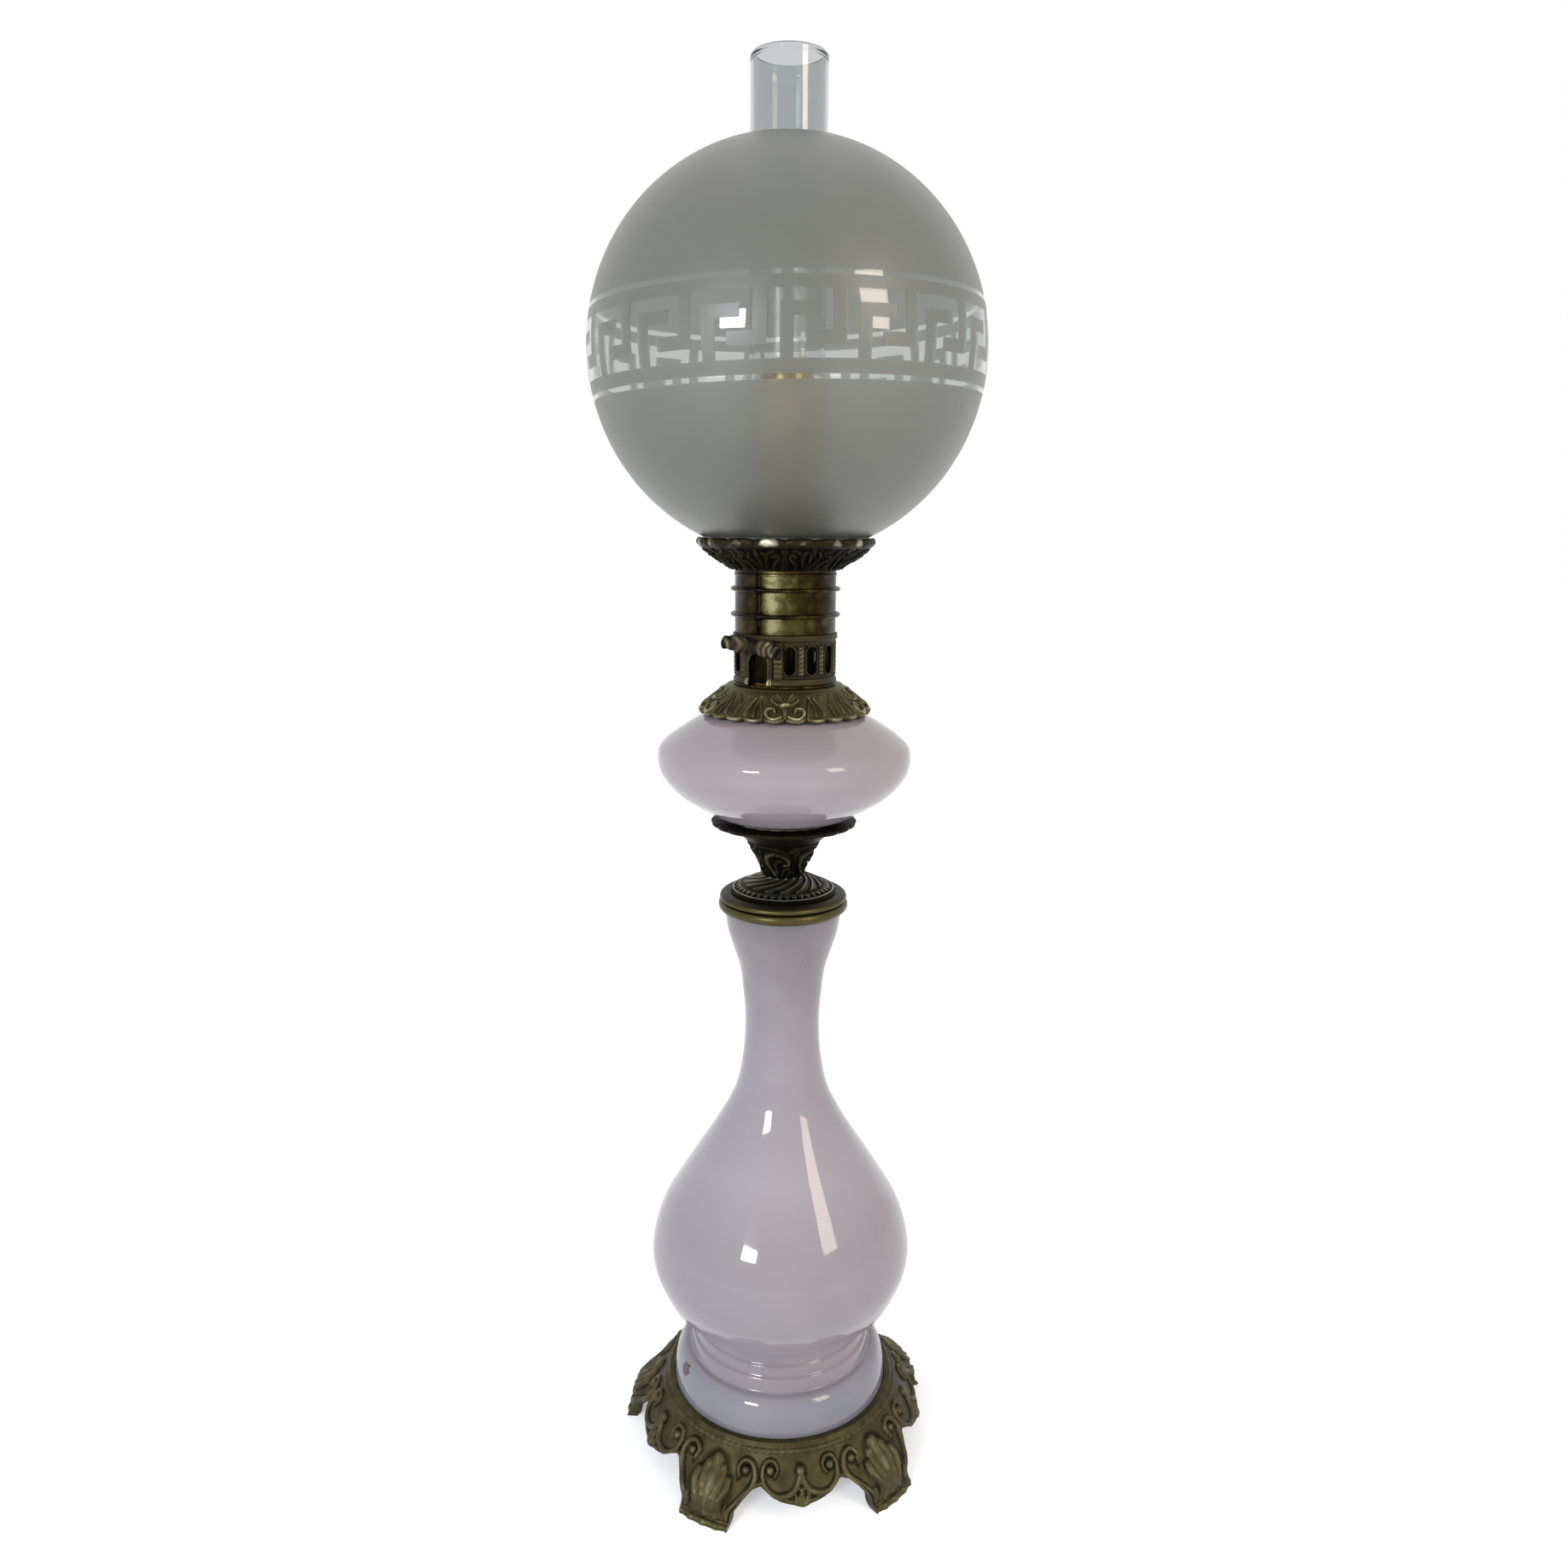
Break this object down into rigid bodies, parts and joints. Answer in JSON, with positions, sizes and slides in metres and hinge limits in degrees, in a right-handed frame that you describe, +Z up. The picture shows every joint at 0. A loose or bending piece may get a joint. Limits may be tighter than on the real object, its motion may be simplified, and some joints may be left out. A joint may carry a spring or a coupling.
{
  "type": "kerosene lamp",
  "caption": "Tall table kerosene lamp: leaf-footed cast base, opaline glass vase and oil font, round-wick burner with key, clear chimney and frosted globe with a Greek key band.",
  "frame": {"origin": "on the ground under the lamp's centre line", "axes": "+Z up along the lamp, -Y towards the wick key"},
  "size_m": [0.2, 0.2, 0.752],
  "materials": {
    "cast_bronze": "aged cast bronze, dark in the hollows and rubbed on the high spots",
    "sheet_brass": "tarnished rolled brass",
    "gilt_brass": "clean pale brass tube",
    "plain_steel": "plain dull steel",
    "opaline_glass": "glossy pale pink opaline, milky and nearly opaque",
    "clear_glass": "clear blown glass",
    "frosted_glass": "acid-frosted outside, with a clear band of Greek key ornament",
    "woven_cotton": "woven cotton",
    "plaster": "lamp cement"
  },
  "bodies": {
    "stand": {"base_casting": "cast_bronze", "foot_washer": "plain_steel", "foot_nut": "plain_steel", "tie_rod": "plain_steel", "vase": "opaline_glass", "neck_bush": "plaster", "vase_collar": "cast_bronze", "stem_dome": "cast_bronze", "font_cup": "cast_bronze", "cup_nut": "plain_steel", "font_cement": "plaster", "font": "opaline_glass", "font_collar": "cast_bronze", "collar_thread": "sheet_brass"},
    "thread": {"burner_thread_ring": "sheet_brass"},
    "burner": {"burner_deck": "sheet_brass", "wick_tube": "gilt_brass", "draft_tube": "gilt_brass", "rack_guide": "sheet_brass", "spindle_bearing": "sheet_brass"},
    "key": {"wick_key": "cast_bronze", "key_spindle": "plain_steel", "rack_pinion": "sheet_brass"},
    "wick": {"wick": "woven_cotton", "wick_carrier": "sheet_brass", "wick_rack": "sheet_brass"},
    "carrier": {"draft_drum": "cast_bronze", "sleeve": "sheet_brass", "sleeve_ring_lower": "sheet_brass", "sleeve_ring_upper": "sheet_brass", "globe_gallery": "cast_bronze"},
    "holder": {"chimney_holder": "sheet_brass"},
    "chimney": {"chimney": "clear_glass"},
    "globe": {"globe": "frosted_glass"}
  },
  "joints": [
    {"name": "burner_rise", "type": "slide", "parent": "stand", "child": "thread", "axis": [0, 0, 1], "range_m": [0, 0.0075]},
    {"name": "burner_turn", "type": "hinge", "parent": "thread", "child": "burner", "pos_m": [0, 0, 0.44928], "axis": [0, 0, 1], "range_deg": [0, 900]},
    {"name": "key_turn", "type": "hinge", "parent": "burner", "child": "key", "pos_m": [0, -0.0153, 0.47078], "axis": [0, 1, 0], "range_deg": [-50.9, 152.7]},
    {"name": "wick_raise", "type": "slide", "parent": "burner", "child": "wick", "axis": [0, 0, 1], "range_m": [-0.004, 0.012]},
    {"name": "carrier_lift", "type": "slide", "parent": "burner", "child": "carrier", "axis": [0, 0, 1], "range_m": [0, 0.165]},
    {"name": "holder_slide", "type": "slide", "parent": "carrier", "child": "holder", "axis": [0, 0, 1], "range_m": [-0.004, 0.01]},
    {"name": "chimney_lift", "type": "slide", "parent": "holder", "child": "chimney", "axis": [0, 0, 1], "range_m": [0, 0.2]},
    {"name": "globe_lift", "type": "slide", "parent": "carrier", "child": "globe", "axis": [0, 0, 1], "range_m": [0, 0.24]}
  ],
  "couplings": [
    {"joint": "burner_rise", "follows": "burner_turn", "m_per_rad": 0.000477},
    {"joint": "wick_raise", "follows": "key_turn", "m_per_rad": 0.0045}
  ]
}
